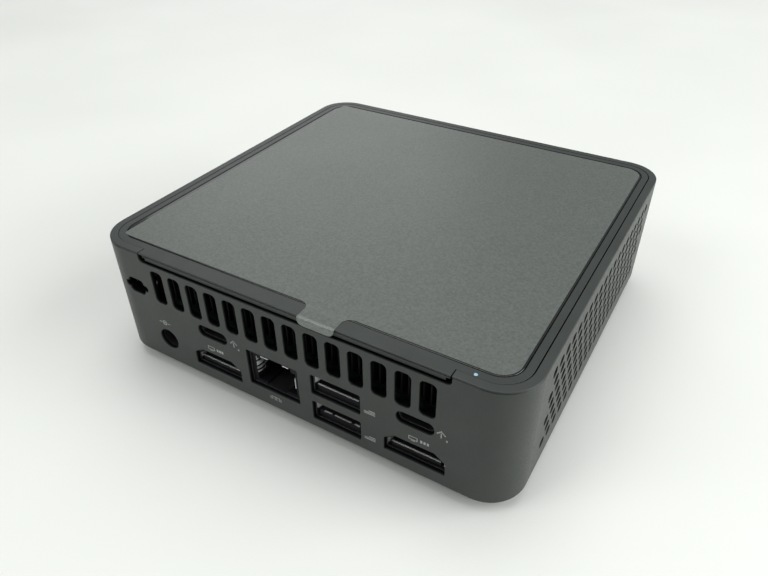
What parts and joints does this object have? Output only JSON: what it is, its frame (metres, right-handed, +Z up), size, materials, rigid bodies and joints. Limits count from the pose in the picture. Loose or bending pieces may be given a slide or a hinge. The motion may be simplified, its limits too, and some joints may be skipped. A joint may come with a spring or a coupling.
{
  "type": "mini pc",
  "caption": "Slim square desktop computer with perforated sides, rear ports and vents, lift-off framed lid with glossy panel, hinged bottom cover, blower and power button.",
  "frame": {"origin": "centre of the underside, on the desk, with the feet standing on z = 0", "axes": "+Z up, -Y the front with the power button, +Y the rear with the ports, +X the left side seen from behind"},
  "size_m": [0.117, 0.1128, 0.0371],
  "materials": {
    "case_plastic": "dark moulded plastic with a fine matte grain",
    "lid_plastic": "dark moulded plastic with a fine matte grain",
    "gloss_black": "polished black acrylic",
    "film": "thin hazy protective film",
    "cover_plastic": "matte black",
    "black_plastic": "black engineering plastic",
    "button_plastic": "satin black",
    "light_pipe": "milky light pipe",
    "status_blue": "clear blue-white light pipe",
    "steel": "nickel plated steel",
    "gold": "gold plated",
    "brass": "turned brass",
    "copper": "bare copper",
    "aluminium": "folded aluminium",
    "black_fins": "blackened aluminium",
    "board": "solder mask over glass laminate",
    "chips": "black moulded package",
    "rubber": "black rubber",
    "pad": "soft silicone pad"
  },
  "bodies": {
    "chassis": {"chassis_shell": "case_plastic", "top_frame": "case_plastic", "card_sockets": "black_plastic", "memory_sockets": "black_plastic", "port_carriers": "black_plastic", "usb_a_tongues": "black_plastic", "usb_c_tongues": "black_plastic", "video_tongues": "black_plastic", "network_jack_insert": "black_plastic", "power_jack": "black_plastic", "power_switch": "black_plastic", "fan_housing": "black_plastic", "fan_cover": "black_plastic", "button_light_ring": "light_pipe", "activity_light": "light_pipe", "usb_a_shells": "steel", "usb_c_shells": "steel", "video_shells": "steel", "network_jack_shield": "steel", "board_screws": "steel", "plate_screws": "steel", "fan_screws": "steel", "drive_screw": "steel", "drive_standoff": "steel", "lock_plate": "steel", "coin_cell": "steel", "network_contacts": "gold", "power_jack_pin": "gold", "fan_bearing": "brass", "cold_plate": "copper", "heat_pipes": "copper", "fan_stator": "copper", "fin_stack": "black_fins", "mainboard": "board", "memory_modules": "board", "drive_board": "board", "wireless_card": "board", "antennas": "board", "processor": "chips", "board_chips": "chips", "memory_chips": "chips", "drive_chips": "chips", "inductors": "chips", "capacitors": "chips"},
    "lid": {"lid_frame": "lid_plastic", "gloss_panel": "gloss_black", "protective_film": "film", "status_light": "status_blue"},
    "bottom_cover": {"bottom_cover": "cover_plastic", "bracket_inserts": "brass", "cover_hinge_pins": "steel", "rubber_feet": "rubber", "drive_cooling_plate": "aluminium", "thermal_pad": "pad"},
    "cover_latch": {"cover_latch": "cover_plastic"},
    "fan_rotor": {"fan_impeller": "black_plastic", "fan_shaft": "steel"},
    "power_button": {"power_button": "button_plastic", "switch_plunger": "black_plastic"}
  },
  "joints": [
    {"name": "lid_lift", "type": "slide", "parent": "chassis", "child": "lid", "axis": [0, 0, 1], "range_m": [0, 0.03]},
    {"name": "cover_hinge", "type": "hinge", "parent": "chassis", "child": "bottom_cover", "pos_m": [0, -0.0518, 0.0032], "axis": [-1, 0, 0], "range_deg": [0, 95]},
    {"name": "latch_slide", "type": "slide", "parent": "bottom_cover", "child": "cover_latch", "axis": [1, 0, 0], "range_m": [-0.006, 0]},
    {"name": "fan_spin", "type": "hinge", "parent": "chassis", "child": "fan_rotor", "pos_m": [0, 0.01, 0.0272], "axis": [0, 0, 1], "continuous": true},
    {"name": "power_press", "type": "slide", "parent": "chassis", "child": "power_button", "axis": [0, 1, 0], "range_m": [0, 0.0008], "stiffness_N_per_m": 600, "springref_m": -0.0004}
  ]
}
